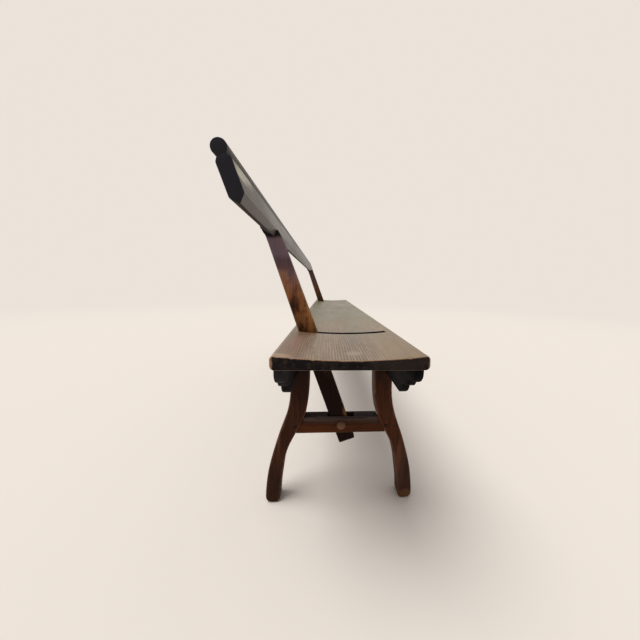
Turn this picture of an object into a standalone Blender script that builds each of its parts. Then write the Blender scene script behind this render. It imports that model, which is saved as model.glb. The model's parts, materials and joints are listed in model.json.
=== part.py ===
# Reversible tram bench: a long dished plank on splayed legs, with a back that flips over from one
# side to the other. Its two flat arms pass through slots in the seat and turn on pegs in the
# stretchers. X runs along the bench, the sitter faces -Y, and the feet stand on Z = 0.
import bpy
import bmesh
from math import acos, atan2, cos, hypot, pi, radians, sin, sqrt, tan
from mathutils import Matrix, Vector

# Fits: the gap between touching pieces, how far a cutter runs past a face, facets of curves
GAP = 0.0003
OVERRUN = 0.010
ARC_STEPS = 3
ROUND_STEPS = 14
SCREW_STEPS = 10

# Seat plank
SEAT_LENGTH = 1.830
SEAT_WIDTH = 0.272
SEAT_THICKNESS = 0.025
SEAT_HEIGHT = 0.481
SEAT_DISH = 0.0075
SEAT_MARGIN = 0.010
SEAT_TOP_ROUND = 0.008
SEAT_BOTTOM_ROUND = 0.007
SEAT_END_ROUND = 0.003
SLOT_MARGIN = 0.0018
DISH_STEPS = 16

# Seat rails, on edge under both long edges of the plank, with stepped ends
RAIL_THICKNESS = 0.017
RAIL_DEPTH = 0.084
RAIL_SET_IN = 0.003
RAIL_END_SET_IN = 0.018
RAIL_END_RUN = 0.085
RAIL_EDGE_ROUND = 0.0015
RAIL_END_SHARES = (
    (0.00, 0.17), (0.02, 0.26), (0.09, 0.35), (0.19, 0.41), (0.31, 0.43), (0.37, 0.46), (0.39, 0.53),
    (0.46, 0.60), (0.58, 0.65), (0.70, 0.67), (0.76, 0.70), (0.79, 0.80), (0.86, 0.91), (1.00, 1.00),
)

# Legs: the heights are shares of the leg's height, the reaches are shares of the foot's reach
LEG_SET_IN = 0.2135
LEG_THICKNESS = 0.045
LEG_EDGE_ROUND = 0.004
FOOT_REACH = 0.205
FOOT_TOE_ROUND = 0.014
FOOT_HEEL_ROUND = 0.006
LEG_STEPS = 24
LEG_OUTER_SHARES = (
    (0.00, 1.000), (0.06, 0.997), (0.12, 0.985), (0.21, 0.956), (0.30, 0.907), (0.40, 0.842),
    (0.46, 0.795), (0.53, 0.737), (0.60, 0.690), (0.67, 0.662), (0.76, 0.652), (1.00, 0.652),
)
LEG_INNER_SHARES = (
    (0.00, 0.820), (0.09, 0.806), (0.18, 0.778), (0.27, 0.746), (0.36, 0.690), (0.45, 0.590),
    (0.52, 0.508), (0.58, 0.460), (0.65, 0.434), (0.74, 0.420), (0.82, 0.415), (1.00, 0.415),
)

# Stretchers between the legs of each end, mortised for the arms
STRETCHER_THICKNESS = 0.032
STRETCHER_DEPTH = 0.046
STRETCHER_EDGE_ROUND = 0.0015
STRETCHER_STEPS = 6
MORTISE_PLAY = 0.004
TENON_THICKNESS = 0.014
TENON_DEPTH = 0.030
TENON_LENGTH = 0.026
CHAMFER_WIDTH = 0.006
CHAMFER_STOP = 0.022
TONGUE_RUN = 0.010

# Wooden pins that lock the tenons in the legs
PIN_RADIUS = 0.0035
PIN_DEPTH = 0.034
PIN_PROUD = 0.0008
PIN_SET_IN = 0.011

# Pegs that the arms turn on
PIVOT_HEIGHT = 0.224
PEG_RADIUS = 0.006
PEG_HEAD_RADIUS = 0.0125
PEG_HEAD_HEIGHT = 0.010
PEG_TAIL = 0.004
PEG_PLAY = 0.0004

# Arms of the back, measured upwards from the pivot and squarely to each side of the middle line
ARM_WIDTH = 0.045
ARM_HEAD_WIDTH = 0.037
ARM_THICKNESS = 0.0175
ARM_TAIL = 0.054
ARM_STRAIGHT = 0.290
ARM_SIDE_PLAY = 0.0015
ARM_CORNER_ROUND = 0.003
ARM_EDGE_ROUND = 0.0012
HEAD_NECK = 0.016
HEAD_LIP = 0.002
CHEEK_HEIGHT = 0.024
CHEEK_THICKNESS = 0.012
CHEEK_ROUND = 0.004
GROOVE_PLAY = 0.002

# Back board with a bevelled lower edge, and the round rail on top of it
BOARD_FOOT = 0.517
BOARD_HEIGHT = 0.0718
BOARD_THICKNESS = 0.0245
BOARD_BEVEL = 0.013
BOARD_TIP_ROUND = 0.003
BOARD_SHOULDER = 0.0075
BOARD_SHOULDER_ROUND = 0.003
TONGUE_THICKNESS = 0.006
TONGUE_HEIGHT = 0.006
TOP_RAIL_RADIUS = 0.0122
TOP_RAIL_FLAT = 0.0135
TOP_RAIL_STEPS = 20

# Battens across the underside of the seat, behind the legs
BATTEN_THICKNESS = 0.022
BATTEN_DEPTH = 0.045
BATTEN_EDGE_ROUND = 0.002

# Slotted wood screws
SCREW_RADIUS = 0.0022
SCREW_HEAD_RADIUS = 0.0042
SCREW_HEAD_HEIGHT = 0.0030
SCREW_LENGTH = 0.032
BACK_SCREW_LENGTH = 0.027
SCREW_POINT = 0.005
SCREW_SLOT_WIDTH = 0.0010
SCREW_SLOT_DEPTH = 0.0010
SCREW_SUNK = 0.0004
RAIL_SCREW_DROP = 0.024
RAIL_SCREW_PITCH = 0.034
SCREW_EDGE_DISTANCE = 0.0070
BATTEN_SCREW_REACH = 0.070
BATTEN_POCKET_RADIUS = 0.0055
LEG_SCREW_DROP = 0.030
BACK_SCREW_RISE = 0.012
BACK_SCREW_PITCH = 0.0095

# What follows from the sizes above
HALF_LENGTH = SEAT_LENGTH / 2
HALF_WIDTH = SEAT_WIDTH / 2
UNDERSIDE = SEAT_HEIGHT - SEAT_THICKNESS
LEG_HEIGHT = UNDERSIDE - GAP
LEG_MIDDLE = HALF_LENGTH - LEG_SET_IN - LEG_THICKNESS / 2
SLOT_WIDTH = ARM_THICKNESS + 2 * ARM_SIDE_PLAY
RAIL_OUTER = HALF_WIDTH - RAIL_SET_IN
RAIL_INNER = RAIL_OUTER - RAIL_THICKNESS
SLOT_REACH = RAIL_INNER - SLOT_MARGIN
BOARD_TOP = BOARD_FOOT + BOARD_HEIGHT
TOP_RAIL_HEIGHT = BOARD_TOP + sqrt(TOP_RAIL_RADIUS ** 2 - (TOP_RAIL_FLAT / 2) ** 2)
ENDS = {"left": -1, "right": 1}
SIDES = {"front": -1, "rear": 1}

# Finishes: colour, roughness, metallic
SEAT_WOOD = ("worn_brown_plank", (0.150, 0.105, 0.075), 0.42, 0.0)
RAIL_WOOD = ("dark_rail_wood", (0.022, 0.017, 0.015), 0.50, 0.0)
LEG_WOOD = ("dark_red_leg_wood", (0.050, 0.018, 0.010), 0.40, 0.0)
STRETCHER_WOOD = ("red_brown_wood", (0.085, 0.026, 0.010), 0.42, 0.0)
ARM_WOOD = ("brown_arm_wood", (0.110, 0.045, 0.022), 0.42, 0.0)
BACK_WOOD = ("grey_brown_back_wood", (0.085, 0.075, 0.062), 0.38, 0.0)
PEG_WOOD = ("turned_peg_wood", (0.190, 0.110, 0.065), 0.45, 0.0)
SCREW_IRON = ("darkened_screw_iron", (0.055, 0.048, 0.042), 0.45, 0.85)


# Shapes

def dish_depth(across):
    """Depth of the dished seat below its edges, at a distance from the middle line."""
    share = abs(across) / (HALF_WIDTH - SEAT_MARGIN)
    return SEAT_DISH * max(0.0, 1 - share * share)


def stop_lean():
    """Lean of the back when its arms lie against the ends of the seat's slots."""
    reach = SLOT_REACH - GAP
    rise = SEAT_HEIGHT - dish_depth(reach) - PIVOT_HEIGHT
    return acos(ARM_WIDTH / 2 / hypot(reach, rise)) - atan2(rise, reach)


BACK_LEAN = stop_lean()


def arm_reach(height):
    """How far the resting arm's back edge stands from the middle plane at a height."""
    return abs(height - PIVOT_HEIGHT) * tan(BACK_LEAN) + ARM_WIDTH / 2 / cos(BACK_LEAN)


def smooth_reach(shares, height):
    """Reach of a leg's edge at a height, on a smooth curve through its shares."""
    level = min(max(height / LEG_HEIGHT, 0.0), 1.0)
    last = len(shares) - 2
    step = min(sum(1 for share in shares[1:-1] if share[0] <= level), last)
    before, start = shares[max(step - 1, 0)], shares[step]
    end, after = shares[step + 1], shares[min(step + 2, last + 1)]
    span = end[0] - start[0]
    t = (level - start[0]) / span
    slope_in = (end[1] - before[1]) / (end[0] - before[0]) * span
    slope_out = (after[1] - start[1]) / (after[0] - start[0]) * span
    value = (2 * t ** 3 - 3 * t ** 2 + 1) * start[1] + (t ** 3 - 2 * t ** 2 + t) * slope_in
    value += (3 * t ** 2 - 2 * t ** 3) * end[1] + (t ** 3 - t ** 2) * slope_out
    return value * FOOT_REACH


def rounded(corners, steps=ARC_STEPS):
    """Outline whose corners (a, b, radius) are turned into tangent arcs."""
    points = []
    for index, (a, b, radius) in enumerate(corners):
        here = Vector((a, b))
        to_last = (Vector(corners[index - 1][:2]) - here).normalized()
        to_next = (Vector(corners[(index + 1) % len(corners)][:2]) - here).normalized()
        if radius == 0:
            points.append((a, b))
            continue
        half_angle = to_last.angle(to_next) / 2
        run = radius / tan(half_angle)
        centre = here + (to_last + to_next).normalized() * (radius / sin(half_angle))
        first = here + to_last * run - centre
        last = here + to_next * run - centre
        turn = first.angle_signed(last)
        for step in range(steps + 1):
            swept = -turn * step / steps
            x = first.x * cos(swept) - first.y * sin(swept)
            y = first.x * sin(swept) + first.y * cos(swept)
            points.append((centre.x + x, centre.y + y))
    return points


# Building

def clear_scene():
    for old in list(bpy.data.objects):
        bpy.data.objects.remove(old, do_unlink=True)


def finish_material(finish):
    name, colour, roughness, metallic = finish
    material = bpy.data.materials.get(name) or bpy.data.materials.new(name)
    material.use_nodes = True
    shader = material.node_tree.nodes["Principled BSDF"]
    shader.inputs["Base Color"].default_value = (*colour, 1.0)
    shader.inputs["Roughness"].default_value = roughness
    shader.inputs["Metallic"].default_value = metallic
    return material


def new_object(name, mesh_data, finish=None, parent=None):
    mesh = bpy.data.meshes.new(name)
    bmesh.ops.recalc_face_normals(mesh_data, faces=mesh_data.faces)
    mesh_data.to_mesh(mesh)
    mesh_data.free()
    piece = bpy.data.objects.new(name, mesh)
    bpy.context.scene.collection.objects.link(piece)
    if finish:
        mesh.materials.append(finish_material(finish))
        mesh.shade_smooth()
        mesh.set_sharp_from_angle(angle=radians(35))
    piece.parent = parent
    return piece


def prism(outline, along, low, high, edge_round=0.0):
    """Solid of an outline drawn across one axis and extruded along it."""
    data = bmesh.new()

    def corner(a, b, level):
        return (level, a, b) if along == "X" else (a, level, b)

    bottom = [data.verts.new(corner(a, b, low)) for a, b in outline]
    cap = data.faces.new(bottom)
    made = bmesh.ops.extrude_face_region(data, geom=[cap])["geom"]
    top = [item for item in made if isinstance(item, bmesh.types.BMVert)]
    shift = Vector(corner(0, 0, high)) - Vector(corner(0, 0, low))
    bmesh.ops.translate(data, verts=top, vec=shift)
    bmesh.ops.recalc_face_normals(data, faces=data.faces)
    if edge_round:
        axis = 0 if along == "X" else 1
        rims = [edge for edge in data.edges if edge.verts[0].co[axis] == edge.verts[1].co[axis]]
        bmesh.ops.bevel(data, geom=rims, offset=edge_round, segments=2, profile=0.5, affect="EDGES")
    return data


def block(low, high):
    """Box between two corners."""
    data = bmesh.new()
    size = [b - a for a, b in zip(low, high)]
    middle = [(a + b) / 2 for a, b in zip(low, high)]
    place = Matrix.Translation(middle) @ Matrix.Diagonal((*size, 1))
    bmesh.ops.create_cube(data, size=1, matrix=place)
    return data


def add_turned(data, profile, place, steps=ROUND_STEPS):
    """Add a turned solid: profile of (distance along the axis, radius), axis along local Z."""
    rings = []
    for distance, radius in profile:
        count = steps if radius > 0 else 1
        angles = [2 * pi * step / steps for step in range(count)]
        spots = [(radius * cos(angle), radius * sin(angle), distance) for angle in angles]
        rings.append([data.verts.new(place @ Vector(spot)) for spot in spots])
    for lower, upper in zip(rings, rings[1:]):
        for step in range(steps):
            after = (step + 1) % steps
            low_pair = [lower[step % len(lower)], lower[after % len(lower)]]
            high_pair = [upper[after % len(upper)], upper[step % len(upper)]]
            loop = list(dict.fromkeys(low_pair + high_pair))
            data.faces.new(loop)
    for ring, turned_round in ((rings[0], True), (rings[-1], False)):
        if len(ring) > 1:
            data.faces.new(ring[::-1] if turned_round else ring)


def turned_solid(profile, places, steps=ROUND_STEPS):
    data = bmesh.new()
    for place in places:
        add_turned(data, profile, place, steps)
    return data


def aimed(point, direction):
    """Placement whose local Z runs along a direction."""
    turn = Vector(direction).to_track_quat("Z", "Y").to_matrix().to_4x4()
    return Matrix.Translation(point) @ turn


def add_boolean(piece, helper, operation):
    """Join a helper solid to a piece, or cut it away, and keep the helper out of the model."""
    helper.hide_render = True
    helper.display_type = "WIRE"
    change = piece.modifiers.new(helper.name, "BOOLEAN")
    change.operation = operation
    change.solver = "EXACT"
    change.object = helper


def subtract(piece, *cutters):
    """Cut each solid away from a piece, in the piece's own frame."""
    for index, data in enumerate(cutters):
        cutter = new_object(f"cutter_{piece.name}_{index}", data, parent=piece.parent)
        add_boolean(piece, cutter, "DIFFERENCE")


def rod_cutter(radius, length, places, steps=ROUND_STEPS):
    return turned_solid(((0, radius), (length, radius)), places, steps)


# Wood screws: the place's local Z runs from the head into the wood

def screw_profile(length, slack=0.0):
    head = SCREW_HEAD_RADIUS + slack
    shank = SCREW_RADIUS + slack
    start = -OVERRUN if slack else 0.0
    neck = SCREW_HEAD_HEIGHT + slack
    return ((start, head), (slack, head), (neck, shank), (length - SCREW_POINT, shank), (length + slack, 0))


def screws(name, places, length, parent=None):
    """Slotted screws, numbered from 1, one at each place."""
    size = (2 * SCREW_HEAD_RADIUS + OVERRUN, SCREW_SLOT_WIDTH, 2 * SCREW_SLOT_DEPTH, 1)
    for number, place in enumerate(places, 1):
        shape = turned_solid(screw_profile(length), [place], SCREW_STEPS)
        screw = new_object(f"{name}_{number}", shape, SCREW_IRON, parent)
        slot = bmesh.new()
        bmesh.ops.create_cube(slot, size=1, matrix=place @ Matrix.Diagonal(size))
        subtract(screw, slot)


def screw_holes(places, length):
    return turned_solid(screw_profile(length, GAP), places, SCREW_STEPS)


def rail_screw_places(end, side):
    """Two staggered screws from a rail into each leg, one in each cheek beside the arm's groove."""
    places = []
    for row, sign in enumerate((-1, 1)):
        x = end * LEG_MIDDLE + sign * (LEG_THICKNESS / 2 - SCREW_EDGE_DISTANCE)
        z = UNDERSIDE - RAIL_SCREW_DROP - row * RAIL_SCREW_PITCH
        y = side * (RAIL_OUTER - SCREW_SUNK)
        places.append(aimed((x, y, z), (0, -side, 0)))
    return places


def batten_far_face(end):
    return end * (LEG_MIDDLE - LEG_THICKNESS / 2 - GAP - BATTEN_THICKNESS)


def leg_screw_place(end, side):
    """Screw through the batten into the cheek of a leg."""
    y = side * (FOOT_REACH * LEG_INNER_SHARES[-1][1] + SCREW_EDGE_DISTANCE)
    x = batten_far_face(end) + end * SCREW_SUNK
    return aimed((x, y, UNDERSIDE - LEG_SCREW_DROP), (end, 0, 0))


def seat_screw_places(end):
    """Three screws up through the batten into the seat, with their heads in deep pockets."""
    x = batten_far_face(end) + end * BATTEN_THICKNESS / 2
    z = UNDERSIDE + SEAT_THICKNESS / 2 - SCREW_LENGTH
    return [aimed((x, step * BATTEN_SCREW_REACH, z), (0, 0, 1)) for step in (-1, 0, 1)]


# Pieces that stand still

def build_seat():
    dish_half = HALF_WIDTH - SEAT_MARGIN
    top = []
    for step in range(DISH_STEPS + 1):
        across = dish_half * (2 * step / DISH_STEPS - 1)
        top.append((across, SEAT_HEIGHT - dish_depth(across)))
    edge = rounded((
        (-HALF_WIDTH, UNDERSIDE, SEAT_BOTTOM_ROUND), (HALF_WIDTH, UNDERSIDE, SEAT_BOTTOM_ROUND),
        (HALF_WIDTH, SEAT_HEIGHT, SEAT_TOP_ROUND), (-HALF_WIDTH, SEAT_HEIGHT, SEAT_TOP_ROUND),
    ))
    split = len(edge) - ARC_STEPS - 1
    outline = edge[:split] + top[::-1] + edge[split:]
    body = prism(outline, "X", -HALF_LENGTH, HALF_LENGTH, SEAT_END_ROUND)
    seat = new_object("seat_board", body, SEAT_WOOD)
    cutters = []
    for end in ENDS.values():
        near = end * LEG_MIDDLE - SLOT_WIDTH / 2
        low = (near, -SLOT_REACH, UNDERSIDE - OVERRUN)
        high = (near + SLOT_WIDTH, SLOT_REACH, SEAT_HEIGHT + OVERRUN)
        cutters.append(block(low, high))
        cutters.append(screw_holes(seat_screw_places(end), SCREW_LENGTH))
    subtract(seat, *cutters)


def build_rail(side_name, side):
    top = UNDERSIDE - GAP
    reach = HALF_LENGTH - RAIL_END_SET_IN
    end_curve = [(reach - run * RAIL_END_RUN, top - drop * RAIL_DEPTH) for run, drop in RAIL_END_SHARES]
    outline = [(reach, top)] + end_curve + [(-x, z) for x, z in end_curve[::-1]] + [(-reach, top)]
    faces = sorted((side * RAIL_INNER, side * RAIL_OUTER))
    rail = new_object(f"seat_rail_{side_name}", prism(outline, "Y", *faces, RAIL_EDGE_ROUND), RAIL_WOOD)
    places = [place for end in ENDS.values() for place in rail_screw_places(end, side)]
    subtract(rail, screw_holes(places, SCREW_LENGTH))
    screws(f"rail_screw_{side_name}", places, SCREW_LENGTH)


def tenon_tip():
    return smooth_reach(LEG_INNER_SHARES, PIVOT_HEIGHT) + TENON_LENGTH


def pin_place(end, side):
    """Pin from the outer face of a leg, square through the tenon."""
    y = side * (smooth_reach(LEG_INNER_SHARES, PIVOT_HEIGHT) + PIN_SET_IN)
    x = end * (LEG_MIDDLE + LEG_THICKNESS / 2 + PIN_PROUD)
    return aimed((x, y, PIVOT_HEIGHT), (-end, 0, 0))


def build_leg(end_name, end, side_name, side):
    levels = [LEG_HEIGHT * step / LEG_STEPS for step in range(LEG_STEPS + 1)]
    outer = [(smooth_reach(LEG_OUTER_SHARES, z), z, 0) for z in levels if z > FOOT_TOE_ROUND]
    inner = [(smooth_reach(LEG_INNER_SHARES, z), z, 0) for z in levels if z > FOOT_HEEL_ROUND]
    toe = (smooth_reach(LEG_OUTER_SHARES, 0), 0, FOOT_TOE_ROUND)
    heel = (smooth_reach(LEG_INNER_SHARES, 0), 0, FOOT_HEEL_ROUND)
    outline = [(side * y, z) for y, z in rounded([toe] + outer + inner[::-1] + [heel])]
    low = end * LEG_MIDDLE - LEG_THICKNESS / 2
    body = prism(outline, "X", low, low + LEG_THICKNESS, LEG_EDGE_ROUND)
    leg = new_object(f"leg_{end_name}_{side_name}", body, LEG_WOOD)

    rail_seat = sorted((side * (RAIL_INNER - GAP), side * (HALF_WIDTH + OVERRUN)))
    rail_foot = UNDERSIDE - GAP - RAIL_DEPTH - GAP
    rail_cut = block(
        (low - OVERRUN, rail_seat[0], rail_foot),
        (low + LEG_THICKNESS + OVERRUN, rail_seat[1], UNDERSIDE + OVERRUN),
    )
    half_groove = ARM_WIDTH / 2 + GROOVE_PLAY
    groove = block(
        (end * LEG_MIDDLE - SLOT_WIDTH / 2, -half_groove, UNDERSIDE - PIVOT_HEIGHT - RAIL_DEPTH),
        (end * LEG_MIDDLE + SLOT_WIDTH / 2, half_groove, BOARD_FOOT),
    )
    lean = Matrix.Translation((0, 0, PIVOT_HEIGHT)) @ Matrix.Rotation(-side * BACK_LEAN, 4, "X")
    bmesh.ops.transform(groove, matrix=lean, verts=groove.verts)
    mouth = sorted((side * smooth_reach(LEG_INNER_SHARES, UNDERSIDE), side * (tenon_tip() + GAP)))
    mortise = block(
        (end * LEG_MIDDLE - TENON_THICKNESS / 2 - GAP, mouth[0], PIVOT_HEIGHT - TENON_DEPTH / 2 - GAP),
        (end * LEG_MIDDLE + TENON_THICKNESS / 2 + GAP, mouth[1], PIVOT_HEIGHT + TENON_DEPTH / 2 + GAP),
    )
    pin_hole = turned_solid(
        ((-OVERRUN, PIN_RADIUS + GAP), (PIN_DEPTH + GAP, PIN_RADIUS + GAP)), [pin_place(end, side)])
    rail_holes = screw_holes(rail_screw_places(end, side), SCREW_LENGTH)
    leg_hole = screw_holes([leg_screw_place(end, side)], SCREW_LENGTH)
    subtract(leg, rail_cut, groove, mortise, pin_hole, rail_holes, leg_hole)


def build_stretcher(end_name, end):
    low_z = PIVOT_HEIGHT - STRETCHER_DEPTH / 2
    right = []
    for step in range(STRETCHER_STEPS + 1):
        z = low_z + STRETCHER_DEPTH * step / STRETCHER_STEPS
        right.append((smooth_reach(LEG_INNER_SHARES, z) - 2 * GAP, z))
    outline = right + [(-y, z) for y, z in right[::-1]]
    low_x = end * LEG_MIDDLE - STRETCHER_THICKNESS / 2
    body = prism(outline, "X", low_x, low_x + STRETCHER_THICKNESS, STRETCHER_EDGE_ROUND)
    stretcher = new_object(f"stretcher_{end_name}", body, STRETCHER_WOOD)
    tenon = new_object(f"tenons_{end_name}", block(
        (end * LEG_MIDDLE - TENON_THICKNESS / 2, -tenon_tip(), PIVOT_HEIGHT - TENON_DEPTH / 2),
        (end * LEG_MIDDLE + TENON_THICKNESS / 2, tenon_tip(), PIVOT_HEIGHT + TENON_DEPTH / 2),
    ))
    add_boolean(stretcher, tenon, "UNION")

    mortise_half = arm_reach(low_z) + MORTISE_PLAY
    mortise = block(
        (end * LEG_MIDDLE - SLOT_WIDTH / 2, -mortise_half, low_z - OVERRUN),
        (end * LEG_MIDDLE + SLOT_WIDTH / 2, mortise_half, low_z + STRETCHER_DEPTH + OVERRUN),
    )
    peg_hole = rod_cutter(PEG_RADIUS + GAP, STRETCHER_THICKNESS + 2 * OVERRUN, [
        aimed((low_x - OVERRUN, 0, PIVOT_HEIGHT), (1, 0, 0))])
    pins = [pin_place(end, side) for side in SIDES.values()]
    pin_holes = rod_cutter(PIN_RADIUS + GAP, LEG_THICKNESS, pins)
    subtract(stretcher, mortise, peg_hole, pin_holes, top_chamfer(end, low_z + STRETCHER_DEPTH))


def top_chamfer(end, top):
    """Cutter for the chamfer on the outer top edge, which runs out in a slope at each end."""
    face = end * (LEG_MIDDLE + STRETCHER_THICKNESS / 2)
    reach = smooth_reach(LEG_INNER_SHARES, top) - CHAMFER_STOP
    data = bmesh.new()
    rings = []
    for y, cut in ((-reach, 0), (TONGUE_RUN - reach, 1), (reach - TONGUE_RUN, 1), (reach, 0)):
        depth = CHAMFER_WIDTH * cut - OVERRUN * (1 - cut) * CHAMFER_WIDTH / TONGUE_RUN
        corners = (
            (face + end * OVERRUN, y, top + OVERRUN),
            (face - end * (depth + OVERRUN), y, top + OVERRUN),
            (face + end * OVERRUN, y, top - depth - OVERRUN),
        )
        rings.append([data.verts.new(corner) for corner in corners])
    for before, after in zip(rings, rings[1:]):
        for step in range(3):
            follow = (step + 1) % 3
            data.faces.new((before[step], before[follow], after[follow], after[step]))
    data.faces.new(rings[0][::-1])
    data.faces.new(rings[-1])
    return data


def build_peg(end_name, end):
    """Peg with a domed head on the outer face of the stretcher and a rounded tail."""
    shoulder = LEG_MIDDLE + STRETCHER_THICKNESS / 2 + GAP
    length = STRETCHER_THICKNESS + GAP + PEG_TAIL
    rise = PEG_HEAD_HEIGHT
    profile = [(-rise * sin(pi / 2 * (1 - share)), PEG_HEAD_RADIUS * cos(pi / 2 * (1 - share)))
               for share in (0, 0.25, 0.5, 0.75, 1)]
    profile[0] = (-rise, 0)
    tail_round = PEG_RADIUS / 3
    profile += [(0, PEG_RADIUS), (length - tail_round, PEG_RADIUS), (length, PEG_RADIUS - tail_round)]
    place = aimed((end * shoulder, 0, PIVOT_HEIGHT), (-end, 0, 0))
    new_object(f"pivot_peg_{end_name}", turned_solid(profile, [place]), PEG_WOOD)


def build_pins(end_name, end):
    profile = ((0, PIN_RADIUS - PIN_PROUD), (PIN_PROUD, PIN_RADIUS), (PIN_DEPTH, PIN_RADIUS))
    for side_name, side in SIDES.items():
        shape = turned_solid(profile, [pin_place(end, side)], SCREW_STEPS)
        new_object(f"stretcher_pin_{end_name}_{side_name}", shape, PEG_WOOD)


def build_batten(end_name, end):
    faces = sorted((batten_far_face(end), batten_far_face(end) + end * BATTEN_THICKNESS))
    half = RAIL_INNER - GAP
    top = UNDERSIDE - GAP
    outline = rounded((
        (-half, top - BATTEN_DEPTH, BATTEN_EDGE_ROUND), (half, top - BATTEN_DEPTH, BATTEN_EDGE_ROUND),
        (half, top, 0), (-half, top, 0),
    ))
    batten = new_object(f"seat_batten_{end_name}", prism(outline, "X", *faces), RAIL_WOOD)
    upright = seat_screw_places(end)
    level = [leg_screw_place(end, side) for side in SIDES.values()]
    pockets = [place @ Matrix.Translation((0, 0, -BATTEN_DEPTH)) for place in upright]
    subtract(
        batten, screw_holes(upright, SCREW_LENGTH), screw_holes(level, SCREW_LENGTH),
        rod_cutter(BATTEN_POCKET_RADIUS, BATTEN_DEPTH, pockets, SCREW_STEPS),
    )
    screws(f"batten_screw_{end_name}", upright + level, SCREW_LENGTH)


# The back, built upright in the frame of its pivot: Z runs up the arms, -Y is the side sat against

def build_arm(end_name, end, pivot):
    half_board = BOARD_THICKNESS / 2
    slope_gap = GAP * sqrt(half_board ** 2 + BOARD_BEVEL ** 2) / half_board
    neck = BOARD_FOOT - HEAD_NECK
    corner = BOARD_FOOT + BOARD_BEVEL
    notch = corner - slope_gap
    half_head = ARM_HEAD_WIDTH / 2
    cheek_inner = half_board + GAP
    cheek_outer = cheek_inner + CHEEK_THICKNESS
    cheek_top = corner + CHEEK_HEIGHT
    outline = rounded((
        (-ARM_WIDTH / 2, -ARM_TAIL, ARM_CORNER_ROUND), (ARM_WIDTH / 2, -ARM_TAIL, ARM_CORNER_ROUND),
        (ARM_WIDTH / 2, ARM_STRAIGHT, 0), (half_head, neck, 0), (half_head, corner - BOARD_BEVEL / 3, 0),
        (cheek_outer, cheek_top - CHEEK_HEIGHT / 3, CHEEK_ROUND),
        (cheek_outer - CHEEK_ROUND, cheek_top, CHEEK_ROUND / 2), (cheek_inner, cheek_top, 0),
        (cheek_inner, notch, 0), (0, BOARD_FOOT - slope_gap, 0), (-half_board, notch, 0),
        (-half_board - HEAD_LIP, notch, 0), (-half_head, neck, 0), (-ARM_WIDTH / 2, ARM_STRAIGHT, 0),
    ))
    low = end * LEG_MIDDLE - ARM_THICKNESS / 2
    body = prism(outline, "X", low, low + ARM_THICKNESS, ARM_EDGE_ROUND)
    arm = new_object(f"back_arm_{end_name}", body, ARM_WOOD, pivot)
    hole_start = aimed((low - OVERRUN, 0, 0), (1, 0, 0))
    hole = rod_cutter(PEG_RADIUS + PEG_PLAY, ARM_THICKNESS + 2 * OVERRUN, [hole_start])
    places = back_screw_places(end)
    subtract(arm, hole, screw_holes(places, BACK_SCREW_LENGTH))
    screws(f"back_screw_{end_name}", places, BACK_SCREW_LENGTH, pivot)


def back_screw_places(end):
    """Two screws through an arm's rear cheek into the board."""
    y = BOARD_THICKNESS / 2 + GAP + CHEEK_THICKNESS * 2 / 3
    z = BOARD_FOOT + BOARD_BEVEL + BACK_SCREW_RISE
    return [aimed((end * LEG_MIDDLE + sign * BACK_SCREW_PITCH / 2, y, z), (0, -1, 0)) for sign in (-1, 1)]


def build_back_board(pivot):
    half = BOARD_THICKNESS / 2
    flat = TOP_RAIL_FLAT / 2
    tongue = TONGUE_THICKNESS / 2
    shoulder = BOARD_TOP - BOARD_SHOULDER
    outline = rounded((
        (0, BOARD_FOOT, BOARD_TIP_ROUND), (half, BOARD_FOOT + BOARD_BEVEL, BOARD_TIP_ROUND),
        (half, shoulder, BOARD_SHOULDER_ROUND), (flat, BOARD_TOP, 0), (tongue, BOARD_TOP, 0),
        (tongue, BOARD_TOP + TONGUE_HEIGHT, 0), (-tongue, BOARD_TOP + TONGUE_HEIGHT, 0),
        (-tongue, BOARD_TOP, 0), (-flat, BOARD_TOP, 0), (-half, shoulder, BOARD_SHOULDER_ROUND),
        (-half, BOARD_FOOT + BOARD_BEVEL, BOARD_TIP_ROUND),
    ))
    board = new_object("back_board", prism(outline, "X", -HALF_LENGTH, HALF_LENGTH), BACK_WOOD, pivot)
    subtract(board, *[screw_holes(back_screw_places(end), BACK_SCREW_LENGTH) for end in ENDS.values()])


def build_top_rail(pivot):
    flat = BOARD_TOP + GAP
    start = -pi / 2 + (TOP_RAIL_FLAT / 2) / TOP_RAIL_RADIUS
    sweep = 2 * pi - 2 * (start + pi / 2)
    outline = []
    for step in range(TOP_RAIL_STEPS + 1):
        angle = start + sweep * step / TOP_RAIL_STEPS
        y = TOP_RAIL_RADIUS * cos(angle)
        z = max(TOP_RAIL_HEIGHT + TOP_RAIL_RADIUS * sin(angle), flat)
        outline.append((y, z))
    groove = TONGUE_THICKNESS / 2 + GAP
    roof = BOARD_TOP + TONGUE_HEIGHT + GAP
    outline += [(-groove, flat), (-groove, roof), (groove, roof), (groove, flat)]
    new_object("back_top_rail", prism(outline, "X", -HALF_LENGTH, HALF_LENGTH), BACK_WOOD, pivot)


def build_back():
    pivot = bpy.data.objects.new("back_pivot", None)
    pivot.location = (0, 0, PIVOT_HEIGHT)
    pivot.rotation_euler = (-BACK_LEAN, 0, 0)
    bpy.context.scene.collection.objects.link(pivot)
    for end_name, end in ENDS.items():
        build_arm(end_name, end, pivot)
    build_back_board(pivot)
    build_top_rail(pivot)


def build_bench():
    clear_scene()
    build_seat()
    for side_name, side in SIDES.items():
        build_rail(side_name, side)
    for end_name, end in ENDS.items():
        for side_name, side in SIDES.items():
            build_leg(end_name, end, side_name, side)
        build_stretcher(end_name, end)
        build_batten(end_name, end)
        build_pins(end_name, end)
        build_peg(end_name, end)
    build_back()


build_bench()
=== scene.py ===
import json
from math import cos, pi, radians, sin

import bmesh
import bpy
import numpy as np
from mathutils import Matrix, Vector, noise


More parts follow.
